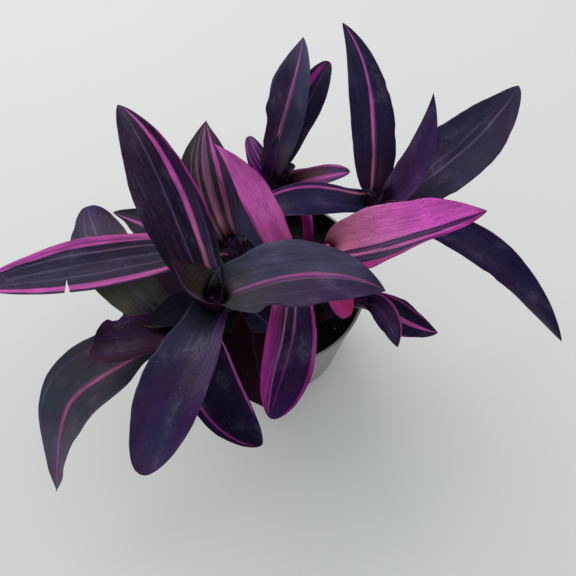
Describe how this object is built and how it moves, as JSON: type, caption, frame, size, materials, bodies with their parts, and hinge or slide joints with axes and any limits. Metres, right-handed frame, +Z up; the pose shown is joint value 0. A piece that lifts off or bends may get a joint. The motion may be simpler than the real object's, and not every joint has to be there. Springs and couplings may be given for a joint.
{
  "type": "potted tradescantia",
  "caption": "Trailing house plant with long pointed strap leaves on upright fleshy stems, standing in soil in a round tapered pot.",
  "frame": {"origin": "centre of the pot's base, on the surface that it stands on", "axes": "+Z up along the pot's axis, -Y towards the viewer of the picture, +X to the viewer's right"},
  "size_m": [0.2768, 0.1956, 0.2008],
  "materials": {
    "pot": "plain grey, slightly satin",
    "soil": "rough dark potting soil",
    "foliage": "waxy leaf, dark purple with lighter pink stripes"
  },
  "bodies": {
    "root": {"pot": "pot", "soil": "soil", "leafy_stem_front": "foliage", "leafy_stem_left": "foliage", "leafy_stem_middle": "foliage", "leafy_stem_centre": "foliage", "leafy_stem_back": "foliage", "leafy_stem_right_back": "foliage", "leafy_stem_right": "foliage", "leafy_stem_right_low": "foliage"}
  },
  "joints": []
}
